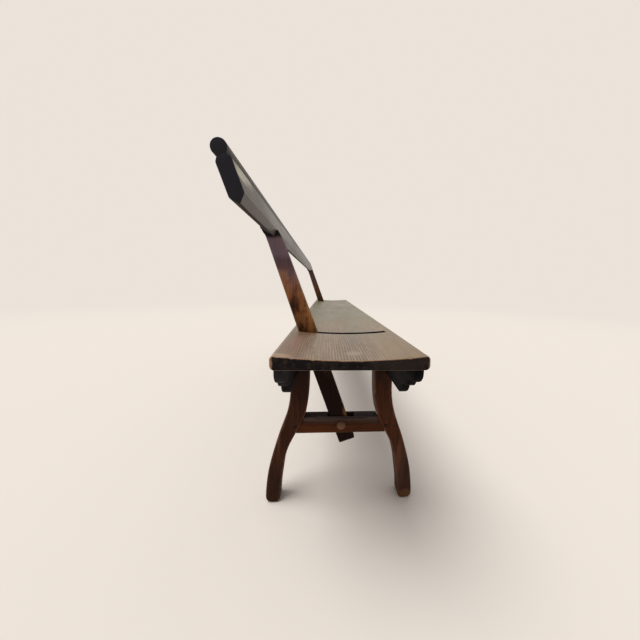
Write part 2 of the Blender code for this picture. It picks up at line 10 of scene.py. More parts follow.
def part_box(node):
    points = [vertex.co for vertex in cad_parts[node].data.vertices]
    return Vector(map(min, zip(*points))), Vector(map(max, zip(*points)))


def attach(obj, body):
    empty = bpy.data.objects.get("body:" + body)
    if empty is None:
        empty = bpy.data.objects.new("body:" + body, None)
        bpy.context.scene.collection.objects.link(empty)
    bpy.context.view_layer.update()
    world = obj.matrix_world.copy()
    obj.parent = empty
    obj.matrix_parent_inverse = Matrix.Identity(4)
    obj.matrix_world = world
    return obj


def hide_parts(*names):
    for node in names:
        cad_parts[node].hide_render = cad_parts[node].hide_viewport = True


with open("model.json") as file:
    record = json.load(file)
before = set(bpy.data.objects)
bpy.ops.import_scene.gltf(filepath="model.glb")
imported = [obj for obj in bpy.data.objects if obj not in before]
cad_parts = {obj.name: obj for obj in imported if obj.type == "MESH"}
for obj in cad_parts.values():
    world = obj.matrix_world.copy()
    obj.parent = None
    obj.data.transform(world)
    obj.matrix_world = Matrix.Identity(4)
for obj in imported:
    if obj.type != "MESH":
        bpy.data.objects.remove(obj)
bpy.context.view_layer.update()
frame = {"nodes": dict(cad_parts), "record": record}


# Helpers

def linear(hex_colour):
    """Colour written as sRGB hex, in the linear values that the shaders take."""
    parts = [int(hex_colour[i:i + 2], 16) / 255 for i in (1, 3, 5)]
    return tuple(c / 12.92 if c <= 0.04045 else ((c + 0.055) / 1.055) ** 2.4 for c in parts) + (1.0,)


def add(tree, kind, inputs=None, **settings):
    """Add a node with its settings. An input is a value, or another node's output to link. A Map Range's
    numbered inputs are the value, the span it comes in and the span it is given. A Mix's are the share,
    then two numbers at 2 and 3 or two colours at 6 and 7."""
    node = tree.nodes.new(kind)
    for name, value in settings.items():
        setattr(node, name, value)
    for socket, value in (inputs or {}).items():
        if isinstance(value, bpy.types.NodeSocket):
            tree.links.new(value, node.inputs[socket])
        else:
            node.inputs[socket].default_value = value
    return node


def only(piece):
    """Make this piece the one that the operators work on."""
    bpy.ops.object.select_all(action="DESELECT")
    piece.select_set(True)
    bpy.context.view_layer.objects.active = piece


def empty_material(name):
    """A new material that has no nodes yet."""
    material = bpy.data.materials.new(name)
    material.use_nodes = True
    material.node_tree.nodes.clear()
    return material


# Camera and light

# The photograph's camera: metres, radians, and pixels of the photograph's side
CAMERA_PLACE = Vector((-1.2986, 0.0427, 0.5938))
CAMERA_PITCH, CAMERA_YAW, CAMERA_ROLL = radians(8.12), radians(3.87), radians(-1.19)
IMAGE_SIDE, FOCAL_PIXELS, MIDDLE_PIXELS = 640, 240, (-22.55, 1.5)
SENSOR = 36.0  # millimetres
NEAREST = 0.01

# The room: a span is how far ahead a direction looks, and its levels are the light from each end
BACKDROP = "#EBE3DA"
ROOM_LIGHT = "#FFFDFB"
SKY_AHEAD = (0.8, 0.1, 0.6)
SKY_SPAN, SKY_LEVELS = (-0.7, 0.9), (0.19, 0.57)
MIRRORED_SPAN, MIRRORED_LEVELS = (-0.2, 0.7), (0.30, 1.0)
SUN_LEVEL = 1.96
SUN_SPREAD = radians(38)
SUN_PLACE = Vector((-0.12, 0.42, 1.0))
FLOOR_COLOUR = "#EEE5DC"
FLOOR_HALF = 40.0
FLOOR_FADE = (3.0, 9.0)


def place_camera():
    """The photograph's ultra-wide view, from just outside the bench's near end."""
    data = bpy.data.cameras.new("camera")
    data.sensor_width = SENSOR
    data.lens = SENSOR * FOCAL_PIXELS / IMAGE_SIDE
    data.shift_x, data.shift_y = [pixels / IMAGE_SIDE for pixels in MIDDLE_PIXELS]
    data.clip_start = NEAREST
    camera = bpy.data.objects.new("camera", data)
    bpy.context.scene.collection.objects.link(camera)
    ahead = Vector((
        cos(CAMERA_YAW) * cos(CAMERA_PITCH), -sin(CAMERA_YAW) * cos(CAMERA_PITCH), -sin(CAMERA_PITCH)))
    level = Vector((-sin(CAMERA_YAW), -cos(CAMERA_YAW), 0))
    down = ahead.cross(level)
    right = cos(CAMERA_ROLL) * level + sin(CAMERA_ROLL) * down
    up = sin(CAMERA_ROLL) * level - cos(CAMERA_ROLL) * down
    turn = Matrix((right, up, -ahead)).transposed().to_4x4()
    camera.matrix_world = Matrix.Translation(CAMERA_PLACE) @ turn
    bpy.context.scene.camera = camera


def set_light():
    """A wide soft lamp above, and a pale room that is darker behind the camera than beyond the bench."""
    lamp = bpy.data.lights.new("soft_lamp", "SUN")
    lamp.energy = SUN_LEVEL
    lamp.angle = SUN_SPREAD
    holder = bpy.data.objects.new("soft_lamp", lamp)
    holder.rotation_euler = SUN_PLACE.to_track_quat("Z", "Y").to_euler()
    bpy.context.scene.collection.objects.link(holder)

    world = bpy.data.worlds.new("pale_room")
    world.use_nodes = True
    tree = world.node_tree
    tree.nodes.clear()
    path = add(tree, "ShaderNodeLightPath")
    spot = add(tree, "ShaderNodeTexCoord")
    side = add(tree, "ShaderNodeVectorMath", {
        0: spot.outputs["Generated"], 1: SKY_AHEAD}, operation="DOT_PRODUCT")
    level = add(tree, "ShaderNodeMapRange", {
        0: side.outputs["Value"], 1: SKY_SPAN[0], 2: SKY_SPAN[1], 3: SKY_LEVELS[0], 4: SKY_LEVELS[1]},
        interpolation_type="SMOOTHSTEP")
    mirrored = add(tree, "ShaderNodeMath", {
        0: path.outputs["Is Glossy Ray"], 1: path.outputs["Is Transmission Ray"]}, operation="MAXIMUM")
    backdrop = add(tree, "ShaderNodeMapRange", {
        0: side.outputs["Value"], 1: MIRRORED_SPAN[0], 2: MIRRORED_SPAN[1],
        3: MIRRORED_LEVELS[0], 4: MIRRORED_LEVELS[1]}, interpolation_type="SMOOTHSTEP")
    shine = add(tree, "ShaderNodeMath", {
        0: mirrored.outputs[0], 1: backdrop.outputs[0]}, operation="MULTIPLY")
    seen = add(tree, "ShaderNodeMath", {
        0: path.outputs["Is Camera Ray"], 1: shine.outputs[0]}, operation="MAXIMUM")
    direct = add(tree, "ShaderNodeMath", {
        0: path.outputs["Is Camera Ray"], 1: mirrored.outputs[0]}, operation="MAXIMUM")
    strength = add(tree, "ShaderNodeMix", {
        0: direct.outputs[0], 2: level.outputs[0], 3: seen.outputs[0]}, data_type="FLOAT")
    colour = add(tree, "ShaderNodeMix", {
        0: direct.outputs[0], 6: linear(ROOM_LIGHT), 7: linear(BACKDROP)}, data_type="RGBA")
    room = add(tree, "ShaderNodeBackground", {0: colour.outputs[2], 1: strength.outputs[0]})
    add(tree, "ShaderNodeOutputWorld", {0: room.outputs[0]})
    bpy.context.scene.world = world
    bpy.context.scene.view_settings.view_transform = "Standard"


def lay_floor():
    """Pale plaster floor that keeps the shadow and melts into the backdrop far away."""
    bpy.ops.mesh.primitive_plane_add(size=2 * FLOOR_HALF)
    floor = bpy.context.object
    floor.name = "pale_floor"
    material = empty_material("pale_plaster")
    tree = material.node_tree
    spot = add(tree, "ShaderNodeTexCoord")
    away = add(tree, "ShaderNodeVectorMath", {0: spot.outputs["Object"]}, operation="LENGTH")
    fade = add(tree, "ShaderNodeMapRange", {
        0: away.outputs["Value"], 1: FLOOR_FADE[0], 2: FLOOR_FADE[1]}, interpolation_type="SMOOTHSTEP")
    path = add(tree, "ShaderNodeLightPath")
    seen = add(tree, "ShaderNodeMath", {
        0: fade.outputs[0], 1: path.outputs["Is Camera Ray"]}, operation="MULTIPLY")
    plaster = add(tree, "ShaderNodeBsdfDiffuse", {0: linear(FLOOR_COLOUR)})
    glow = add(tree, "ShaderNodeEmission", {0: linear(BACKDROP)})
    both = add(tree, "ShaderNodeMixShader", {
        0: seen.outputs[0], 1: plaster.outputs[0], 2: glow.outputs[0]})
    add(tree, "ShaderNodeOutputMaterial", {0: both.outputs[0]})
    floor.data.materials.append(material)


# Finishes

UPRIGHT = (0, radians(-90), 0)
ACROSS = (0, 0, radians(90))

# Real sizes of the wood's patterns in metres, along the grain and then across it, or all round
BEND_SIZE = (0.770, 0.125, 0.125)
FIBRE_SIZE = (0.111, 0.002, 0.002)
BLOTCH_SIZE = (0.200, 0.0625, 0.0625)
RUB_PATCH_SIZE = 0.0278
DENT_GAP = 0.0263
GRAIN_RELIEF = 0.0004
SPOT_STRETCH = (0.5, 1, 1)  # spots are twice as long as they are wide
WAVE_RADIANS = 20  # Blender's wave texture turns this far in one unit at a scale of 1

# The span of each pattern from where it starts to show to where it is full, and how strongly it shows
LATE_SPAN = (0.35, 0.95)
CLOUD_SPAN = (0.35, 0.68)
RING_SPAN, RING_STRENGTHS = (0.38, 0.60), (0.3, 1.2)
STREAK_SPAN, STREAK_LEVELS = (0.36, 0.64), (0.66, 1.18)
SPOT_SPAN = (0.48, 0.66)
END_SPAN, END_STRENGTH = (0.62, 0.86), 0.96
SMUDGE_SPAN, SMUDGE_STRENGTH = (0.48, 0.72), 0.55
RUB_PATCH_WEIGHT, BARE_STRENGTH = 0.9, 0.85
PATCH_RAGGEDNESS, PATCH_SPAN = 1.2, (2.0, 1.1)
HOLLOW_DARKENING = 0.7
DENT_SPAN, DENT_STRENGTH = (0.055, 0.025), 0.5
SHEEN_SPAN = (0.3, 0.7)
RING_SINK = -0.6

SCREW_DARK, SCREW_RUBBED = "#2A2320", "#5A5049"
SCREW_PIT_SIZE, SCREW_PIT_DEPTH = 0.00143, 0.0001
SCREW_RUBBED_SPAN = (0.4, 0.65)
SCREW_SHEEN_SPAN, SCREW_ROUGHNESS = (0.3, 0.7), (0.65, 0.4)


def grain_patterns(tree, turn, heart, ring, wander, spot_size):
    """The patterns that a board's colour, gloss and relief all follow, by name."""
    spot = add(tree, "ShaderNodeTexCoord")
    along = add(tree, "ShaderNodeMapping", {
        "Vector": spot.outputs["Object"], "Location": heart, "Rotation": turn}, vector_type="TEXTURE")

    # Growth rings, one each ring metres, drawn out of true by slow noise
    slow = add(tree, "ShaderNodeMapping", {
        "Vector": along.outputs[0], "Scale": [1 / size for size in BEND_SIZE]})
    bend = add(tree, "ShaderNodeTexNoise", {"Vector": slow.outputs[0], "Scale": 1.0, "Detail": 2.0})
    drawn = add(tree, "ShaderNodeVectorMath", {
        0: bend.outputs["Color"], 1: (0.0, wander, wander), 2: along.outputs[0]},
        operation="MULTIPLY_ADD")
    rings = add(tree, "ShaderNodeTexWave", {
        "Vector": drawn.outputs[0], "Scale": 2 * pi / (WAVE_RADIANS * ring), "Distortion": 0.0},
        wave_type="RINGS", rings_direction="X", wave_profile="SAW")
    late = add(tree, "ShaderNodeMapRange", {
        0: rings.outputs["Fac"], 1: LATE_SPAN[0], 2: LATE_SPAN[1]}, interpolation_type="SMOOTHSTEP")

    # Fibres, drawn about 2 mm apart so that they show
    fine = add(tree, "ShaderNodeMapping", {
        "Vector": along.outputs[0], "Scale": [1 / size for size in FIBRE_SIZE]})
    streaks = add(tree, "ShaderNodeTexNoise", {
        "Vector": fine.outputs[0], "Scale": 1.0, "Detail": 3.0, "Roughness": 0.6})

    # Uneven stain: blotches of 60 mm by 200 mm, and small spots
    wide = add(tree, "ShaderNodeMapping", {
        "Vector": along.outputs[0], "Scale": [1 / size for size in BLOTCH_SIZE]})
    blotch = add(tree, "ShaderNodeTexNoise", {
        "Vector": wide.outputs[0], "Scale": 1.0, "Detail": 4.0, "Roughness": 0.55})
    marks = add(tree, "ShaderNodeMapping", {"Vector": along.outputs[0], "Scale": SPOT_STRETCH})
    spots = add(tree, "ShaderNodeTexNoise", {
        "Vector": marks.outputs[0], "Scale": 1 / spot_size, "Detail": 3.0, "Roughness": 0.65})
    return {
        "place": spot.outputs["Object"], "facing": spot.outputs["Normal"], "drawn": drawn.outputs[0],
        "bend": bend.outputs["Fac"], "late": late.outputs[0], "streaks": streaks.outputs["Fac"],
        "blotch": blotch.outputs["Fac"], "spots": spots.outputs["Fac"]}


def grained_colour(tree, grain, line, body, light, ring_depth, mottle):
    """Body and lighter body in blotches, with ring lines, fibre streaks and small dark spots."""
    cloud = add(tree, "ShaderNodeMapRange", {0: grain["blotch"], 1: CLOUD_SPAN[0], 2: CLOUD_SPAN[1]})
    colour = add(tree, "ShaderNodeMix", {0: cloud.outputs[0], 6: body, 7: light}, data_type="RGBA")
    plain = add(tree, "ShaderNodeMapRange", {
        0: grain["bend"], 1: RING_SPAN[0], 2: RING_SPAN[1],
        3: RING_STRENGTHS[0] * ring_depth, 4: RING_STRENGTHS[1] * ring_depth})
    depth = add(tree, "ShaderNodeMath", {0: grain["late"], 1: plain.outputs[0]}, operation="MULTIPLY")
    colour = add(tree, "ShaderNodeMix", {
        0: depth.outputs[0], 6: colour.outputs[2], 7: line}, data_type="RGBA")
    thin = add(tree, "ShaderNodeMapRange", {
        0: grain["streaks"], 1: STREAK_SPAN[0], 2: STREAK_SPAN[1],
        3: STREAK_LEVELS[0], 4: STREAK_LEVELS[1]})
    colour = add(tree, "ShaderNodeVectorMath", {
        0: colour.outputs[2], "Scale": thin.outputs[0]}, operation="SCALE")
    dark = add(tree, "ShaderNodeMapRange", {
        0: grain["spots"], 1: SPOT_SPAN[0], 2: SPOT_SPAN[1], 3: 0.0, 4: mottle})
    colour = add(tree, "ShaderNodeMix", {
        0: dark.outputs[0], 6: colour.outputs[0], 7: line}, data_type="RGBA")
    return colour.outputs[2]


def darkened_ends(tree, grain, colour, turn, end_tone, body):
    """The end grain, which drank the stain and went dark, with smudges of the body's colour."""
    facing = add(tree, "ShaderNodeMapping", {
        "Vector": grain["facing"], "Rotation": turn}, vector_type="TEXTURE")
    split = add(tree, "ShaderNodeSeparateXYZ", {0: facing.outputs[0]})
    across = add(tree, "ShaderNodeMath", {0: split.outputs[0]}, operation="ABSOLUTE")
    end = add(tree, "ShaderNodeMapRange", {
        0: across.outputs[0], 1: END_SPAN[0], 2: END_SPAN[1], 4: END_STRENGTH},
        interpolation_type="SMOOTHSTEP")
    smudge = add(tree, "ShaderNodeMapRange", {
        0: grain["spots"], 1: SMUDGE_SPAN[0], 2: SMUDGE_SPAN[1], 3: 0.0, 4: SMUDGE_STRENGTH})
    soot = add(tree, "ShaderNodeMix", {
        0: smudge.outputs[0], 6: linear(end_tone), 7: body}, data_type="RGBA")
    colour = add(tree, "ShaderNodeMix", {
        0: end.outputs[0], 6: colour, 7: soot.outputs[2]}, data_type="RGBA")
    return colour.outputs[2]


def rubbed_arrises(tree, grain, colour, rubbed, rub):
    """The arrises that hands rubbed bare, unevenly, from the mesh's worn attribute."""
    worn = add(tree, "ShaderNodeAttribute", attribute_name="worn")
    patches = add(tree, "ShaderNodeTexNoise", {
        "Vector": grain["place"], "Scale": 1 / RUB_PATCH_SIZE, "Detail": 5.0, "Roughness": 0.68})
    uneven = add(tree, "ShaderNodeMath", {
        0: patches.outputs["Fac"], 1: RUB_PATCH_WEIGHT, 2: worn.outputs["Fac"]}, operation="MULTIPLY_ADD")
    bare = add(tree, "ShaderNodeMapRange", {
        0: uneven.outputs[0], 1: RUB_PATCH_WEIGHT / 2 + rub[0], 2: RUB_PATCH_WEIGHT / 2 + rub[1],
        4: BARE_STRENGTH}, interpolation_type="SMOOTHSTEP")
    colour = add(tree, "ShaderNodeMix", {0: bare.outputs[0], 6: colour, 7: rubbed}, data_type="RGBA")
    return colour.outputs[2]


def stain_and_light_patches(tree, grain, colour, stains_and_painted_light):
    """Patches with ragged soft edges, each given as colour, middle, reach along X, Y, Z and strength:
    stains, and painted highlights, sheen and shade.
    """
    for tone, middle, reach, strength in stains_and_painted_light:
        offset = add(tree, "ShaderNodeVectorMath", {0: grain["place"], 1: middle}, operation="SUBTRACT")
        shares = add(tree, "ShaderNodeVectorMath", {0: offset.outputs[0], 1: reach}, operation="DIVIDE")
        apart = add(tree, "ShaderNodeVectorMath", {0: shares.outputs[0]}, operation="LENGTH")
        ragged = add(tree, "ShaderNodeMath", {
            0: grain["blotch"], 1: PATCH_RAGGEDNESS, 2: apart.outputs["Value"]},
            operation="MULTIPLY_ADD")
        patch = add(tree, "ShaderNodeMapRange", {
            0: ragged.outputs[0], 1: PATCH_SPAN[0], 2: PATCH_SPAN[1], 3: 0.0, 4: strength},
            interpolation_type="SMOOTHSTEP")
        mixed = add(tree, "ShaderNodeMix", {
            0: patch.outputs[0], 6: colour, 7: linear(tone)}, data_type="RGBA")
        colour = mixed.outputs[2]
    return colour


def darkened_hollows(tree, colour, end_tone):
    """Darker in the hollows, where the mesh sinks below its relaxed shape, read from the mesh's hollows
    attribute.
    """
    hollows = add(tree, "ShaderNodeAttribute", attribute_name="hollows")
    darkening = add(tree, "ShaderNodeMath", {0: hollows.outputs["Fac"], 1: HOLLOW_DARKENING}, operation="MULTIPLY")
    colour = add(tree, "ShaderNodeMix", {
        0: darkening.outputs[0], 6: colour, 7: linear(end_tone)}, data_type="RGBA")
    return colour.outputs[2]


def aged_wood(
        name, tones, turn=(0, 0, 0), heart=(0, 0.3, 0.3), ring=0.0025, wander=0.008, ring_depth=0.5,
        stains_and_painted_light=(), end_tone="#0E0B0A", gloss=(0.42, 0.60), shine=0.12, rub=(0.35, 0.85), mottle=0.25,
        spot_size=0.0125, relief=0.4):
    """Sawn and planed wood under old stain and wax. Sawing gives it growth rings cut lengthwise, planing
    short fibre streaks, the stain its blotches and dark end grain, and hands rubbed arrises and a dull
    sheen. Tones: ring line, body, lighter body, rubbed. Heart is the line that the rings go round, ring
    their spacing and wander how far they stray, in metres. Rub is the wear at which bare wood starts to
    show and at which it is bare. Gloss is the lowest and the highest roughness."""
    line, body, light, rubbed = [linear(tone) for tone in tones]
    material = empty_material(name)
    tree = material.node_tree
    grain = grain_patterns(tree, turn, heart, ring, wander, spot_size)
    colour = grained_colour(tree, grain, line, body, light, ring_depth, mottle)
    colour = darkened_ends(tree, grain, colour, turn, end_tone, body)
    colour = rubbed_arrises(tree, grain, colour, rubbed, rub)
    colour = stain_and_light_patches(tree, grain, colour, stains_and_painted_light)
    colour = darkened_hollows(tree, colour, end_tone)

    # Dents about 2 mm across and 26 mm apart
    dents = add(tree, "ShaderNodeTexVoronoi", {
        "Vector": grain["drawn"], "Scale": 1 / DENT_GAP}, feature="F1")
    dent = add(tree, "ShaderNodeMapRange", {
        0: dents.outputs["Distance"], 1: DENT_SPAN[0], 2: DENT_SPAN[1], 3: 0.0, 4: DENT_STRENGTH})
    colour = add(tree, "ShaderNodeMix", {0: dent.outputs[0], 6: colour, 7: line}, data_type="RGBA")

    rough = add(tree, "ShaderNodeMapRange", {
        0: grain["blotch"], 1: SHEEN_SPAN[0], 2: SHEEN_SPAN[1], 3: gloss[0], 4: gloss[1]})
    height = add(tree, "ShaderNodeMath", {
        0: grain["late"], 1: RING_SINK, 2: grain["streaks"]}, operation="MULTIPLY_ADD")
    level = add(tree, "ShaderNodeMath", {0: height.outputs[0], 1: dent.outputs[0]}, operation="SUBTRACT")
    bump = add(tree, "ShaderNodeBump", {
        "Height": level.outputs[0], "Distance": GRAIN_RELIEF, "Strength": relief})
    skin = add(tree, "ShaderNodeBsdfPrincipled", {
        "Base Color": colour.outputs[2], "Roughness": rough.outputs[0], "Normal": bump.outputs[0],
        "IOR": 1.5, "Specular IOR Level": shine})
    add(tree, "ShaderNodeOutputMaterial", {0: skin.outputs[0]})
    return material


def darkened_iron(name):
    """Old wood screws: filed iron gone brown-black, which looks dull with a few rubbed spots."""
    material = empty_material(name)
    tree = material.node_tree
    spot = add(tree, "ShaderNodeTexCoord")
    pits = add(tree, "ShaderNodeTexNoise", {
        "Vector": spot.outputs["Object"], "Scale": 1 / SCREW_PIT_SIZE, "Detail": 3.0})
    share = add(tree, "ShaderNodeMapRange", {
        0: pits.outputs["Fac"], 1: SCREW_RUBBED_SPAN[0], 2: SCREW_RUBBED_SPAN[1]})
    colour = add(tree, "ShaderNodeMix", {
        0: share.outputs[0], 6: linear(SCREW_DARK), 7: linear(SCREW_RUBBED)}, data_type="RGBA")
    rough = add(tree, "ShaderNodeMapRange", {
        0: pits.outputs["Fac"], 1: SCREW_SHEEN_SPAN[0], 2: SCREW_SHEEN_SPAN[1],
        3: SCREW_ROUGHNESS[0], 4: SCREW_ROUGHNESS[1]})
    bump = add(tree, "ShaderNodeBump", {
        "Height": pits.outputs["Fac"], "Distance": SCREW_PIT_DEPTH, "Strength": 0.5})
    skin = add(tree, "ShaderNodeBsdfPrincipled", {
        "Base Color": colour.outputs[2], "Roughness": rough.outputs[0], "Normal": bump.outputs[0],
        "Metallic": 0.9})
    add(tree, "ShaderNodeOutputMaterial", {0: skin.outputs[0]})
    return material


# Stains and painted light and shade, each in its place on the bench: colour, middle, reach along X, Y and
# Z, strength.
# Near is the end at -X, and the rear side, at +Y, is the one that the back leans over at rest.
ALL = 9  # metres: a reach past every end of the bench
SEAT_STAINS_AND_SHEEN = (
    ("#696750", (0.1, 0, 0.48), (0.64, ALL, ALL), 0.78),  # greenish colour shift with painted sheen, from the near arm onwards
    ("#A67F70", (-0.80, 0.103, 0.48), (0.06, 0.014, ALL), 0.5),  # pink streak in line with the arm
    ("#86695A", (-0.92, 0.12, 0.48), (0.14, 0.05, ALL), 0.4),  # reddish rear corner
    ("#806A48", (-0.85, -0.10, 0.48), (0.14, 0.04, ALL), 0.6),  # yellow-brown front side
    ("#9A6A4A", (-0.705, 0.10, 0.48), (0.014, 0.03, ALL), 0.35),  # warm tinge at the arm's foot
    ("#B89A80", (-0.908, 0.122, 0.48), (0.012, 0.022, ALL), 0.6),  # rubbed rear corner
    ("#AC9A84", (-0.871, -0.007, 0.48), (0.014, 0.016, ALL), 0.4))  # pale spot
SEAT_END_STAINS = (
    ("#382E28", (-0.915, -0.08, 0.468), (0.02, 0.05, 0.012), 0.5),)  # browner front half
RAIL_STAINS = (
    ("#2E2A2D", (-0.90, 0.13, 0.44), (0.1, 0.05, 0.05), 0.7),  # lighter rear end
    ("#050506", (-0.90, -0.12, 0.44), (0.1, 0.05, 0.05), 0.85))  # darker front end
LEG_STAINS_AND_SHADE = (
    ("#2C160E", (-0.70, 0.155, 0.20), (0.05, 0.03, 0.06), 0.45),  # near rear leg, dark knee
    ("#6A463A", (-0.70, 0.166, 0.20), (0.05, 0.005, 0.06), 0.45),  # its rubbed outer edge
    ("#5C3C2C", (-0.70, 0.198, 0.085), (0.05, 0.006, 0.07), 0.5),  # and lower down
    ("#1C0E0B", (0, 0, 0.47), (ALL, ALL, 0.11), 0.8),  # every leg, painted shade of the seat on its top
    ("#180B09", (-0.70, 0.11, 0.36), (0.05, 0.05, 0.07), 0.6),  # near rear leg, painted shade on its upper part
    ("#20130F", (0, 0.2, 0.06), (ALL, 0.09, 0.08), 0.55),  # rear legs, dark feet
    ("#523A30", (-0.70, -0.175, 0.10), (0.05, 0.04, 0.07), 0.6),  # near front leg, paler shin
    ("#6E4630", (-0.70, -0.162, 0.13), (0.05, 0.006, 0.05), 0.6),  # a light streak down it
    ("#150C0B", (-0.70, -0.186, 0.09), (0.05, 0.006, 0.04), 0.4),  # a dark streak beside that
    ("#7A5636", (-0.70, -0.188, 0.012), (0.05, 0.02, 0.014), 0.6))  # its scuffed foot
STRETCHER_TOP_SHADE_AND_SHEEN = (
    ("#4C4644", (0, 0, 0.262), (ALL, ALL, 0.028), 0.9),)  # painted shade and grey sheen on the top, under the seat
ARM_STAINS_AND_SHADE = (
    ("#8A5A48", (0, 0.13, 0.62), (ALL, ALL, 0.06), 0.4),  # redder middle
    ("#38201A", (-0.69, 0.124, 0.547), (0.2, 0.010, 0.020), 0.6),  # near arm, dark blotch
    ("#6A5E6C", (0, 0.17, 0.71), (ALL, ALL, 0.095), 0.85),  # purplish head
    ("#3A2A2E", (-0.69, 0.158, 0.648), (0.2, 0.05, 0.018), 0.5),  # near arm, dark band under it
    ("#B47C46", (-0.69, 0.082, 0.505), (0.2, 0.010, 0.03), 0.55),  # light front edge at the seat
    ("#141014", (0, 0.17, 0.722), (ALL, ALL, 0.013), 0.95),  # painted shade in the nook under the board
    ("#4C3626", (0.69, 0.15, 0.60), (0.2, ALL, ALL), 0.7),  # far arm, painted shade all over
    ("#170906", (0, 0, 0.27), (ALL, ALL, 0.235), 0.99),  # painted shadow of the seat, black below it
    ("#8A5E30", (-0.68, -0.014, 0.262), (0.1, 0.009, 0.018), 0.7))  # scuff at the stretcher
BACK_STAINS_AND_PAINTED_LIGHT = (
    ("#3A302A", (-0.85, 0.195, 0.79), (0.30, 0.02, 0.012), 0.7),  # brown near end of the round rail
    ("#1C1815", (0, 0.1854, 0.779), (ALL, 0.006, 0.006), 0.65),  # painted shade in the groove below it
    ("#15131A", (0, 0.1851, 0.7133), (ALL, 0.012, 0.012), 0.9),  # painted shade on the rear bevel
    ("#655F5B", (0, 0.1682, 0.7198), (ALL, 0.008, 0.009), 0.7),  # dull front bevel
    ("#302B27", (-0.795, 0.176, 0.762), (0.070, 0.012, 0.020), 0.55),  # darker stretch of the front beyond the near end
    ("#A8A492", (-0.878, 0.178, 0.766), (0.050, 0.010, 0.019), 0.5),  # painted highlight at the near end of the front
    ("#D8D5C0", (-0.893, 0.176, 0.759), (0.028, 0.010, 0.010), 0.62),  # painted highlight, its brightest part
    ("#D8D5C0", (-0.862, 0.180, 0.772), (0.032, 0.010, 0.009), 0.5),  # painted highlight on along to the rail
    ("#1E1A18", (-0.915, 0.184, 0.782), (0.022, 0.03, 0.012), 0.9))  # painted shade in the corner under the rail's near end

FINISHES = {
    # Softwood plank, planed, then polished by sitting: broad ring lines under a soft sheen, with a greenish
    # painted sheen from the near arm onwards
    "seat_wood": aged_wood(
        "worn_waxed_plank", ("#43342A", "#8A735D", "#A08971", "#AE8868"), ring=0.0036, wander=0.007,
        heart=(0, -0.24, 0.74), ring_depth=0.72, gloss=(0.32, 0.46), shine=0.45, rub=(0.40, 0.95),
        mottle=0.30, stains_and_painted_light=SEAT_STAINS_AND_SHEEN, end_tone="#1B1714"),
    # Softwood boards on edge, sawn, blackened and never rubbed: nearly black and dull
    "rail_wood": aged_wood(
        "dark_rail_wood", ("#0A090A", "#1A1718", "#242022", "#332B27"), shine=0.05, gloss=(0.52, 0.66),
        stains_and_painted_light=RAIL_STAINS, end_tone="#0B0A0C"),
    # Hardwood sawn to curves and stained: dark red-brown with paler rubbed edges, and painted shade at
    # their tops under the seat
    "leg_wood": aged_wood(
        "dark_red_leg_wood", ("#1C0C08", "#422315", "#55301D", "#7E5842"), turn=UPRIGHT,
        heart=(-0.5, 0.9, 0), ring=0.0032, shine=0.06, rub=(0.26, 0.70), stains_and_painted_light=LEG_STAINS_AND_SHADE),
    # Squared and mortised hardwood, stained: red-brown, with painted shade and sheen on its top
    "stretcher_wood": aged_wood(
        "red_brown_stretcher_wood", ("#240E06", "#482510", "#603418", "#72482C"), turn=ACROSS,
        heart=(0.2, 0, 0.1), ring=0.005, ring_depth=0.8, shine=0.06, stains_and_painted_light=STRETCHER_TOP_SHADE_AND_SHEEN),
    # Planed hardwood laths, stained by hand: orange-brown, mottled with near-black, with painted shade
    # below the seat, under the board and on the far arm
    "arm_wood": aged_wood(
        "mottled_arm_wood", ("#3A2012", "#9E643A", "#B87C4C", "#BC9468"), turn=UPRIGHT,
        heart=(0.2, 0.2, 0), ring_depth=0.35, shine=0.06, rub=(0.22, 0.65), mottle=0.85, spot_size=0.014,
        stains_and_painted_light=ARM_STAINS_AND_SHADE),
    # Planed and rounded softwood, greyed by backs and hands: grey with fine lines and a low gloss, a
    # painted highlight at its near end and painted shade in the groove, the near corner and the rear bevel
    "back_wood": aged_wood(
        "handled_back_wood", ("#35322C", "#504B43", "#5F5A50", "#6A645A"), heart=(0, 0.2, 0.5),
        ring_depth=0.55, end_tone="#1B1A1D", gloss=(0.28, 0.40), shine=0.15, relief=0.25,
        stains_and_painted_light=BACK_STAINS_AND_PAINTED_LIGHT),
    # Pegs turned on a lathe from a plain hardwood: even brown, with heads a little lighter
    "peg_wood": aged_wood(
        "turned_peg_wood", ("#3A2418", "#7A5640", "#8A664C", "#9A7A5E"), heart=(0, 0.05, 0.2),
        end_tone="#74533F"),
    "screw_iron": darkened_iron("darkened_screw_iron"),
}
# Split pins, driven and cut flush, so that only dark end grain shows
PIN_WOOD = aged_wood("dark_pin_end_grain", ("#0E0A09", "#1C1512", "#241A16", "#30241E"), turn=ACROSS)
# Sawn ends of the board and the round rail, which no hand waxed: dry, blue-black and dull. It is also laid
# on their downward faces as painted shade
BACK_END_GRAIN_AND_UNDERSIDE_SHADE = aged_wood(
    "dry_back_end_grain_and_underside_shade", ("#0C0B0B", "#2C292D", "#4A3A2E", "#5A4636"), end_tone="#2A2930",
    gloss=(0.7, 0.85), shine=0.05)
# Sawn ends of the plank, knocked and rubbed: black and dull with brown patches
SEAT_END_GRAIN = aged_wood(
    "rubbed_seat_end_grain", ("#0C0B0B", "#44362B", "#4A3A2E", "#A8866A"), end_tone="#1A171A",
    gloss=(0.7, 0.85), shine=0.05, stains_and_painted_light=SEAT_END_STAINS)


# Pieces

TOUCH = 0.00002
JOINED = 0.00001
ALONG = 0.9  # least share of a normal or an edge that counts as along an axis
SQUARE = 0.99  # the same for a face that is square to the axis
DOWNWARD = -0.8  # a normal's share up, below which its face is an underside
STEADY_PASSES = 2  # passes that steady a measured height
SLOTS = {part["node"]: part["material_slot"] for part in frame["record"]["subparts"]}
BODIES = {name: body for body, names in frame["record"]["behaviour"]["bodies"].items() for name in names}


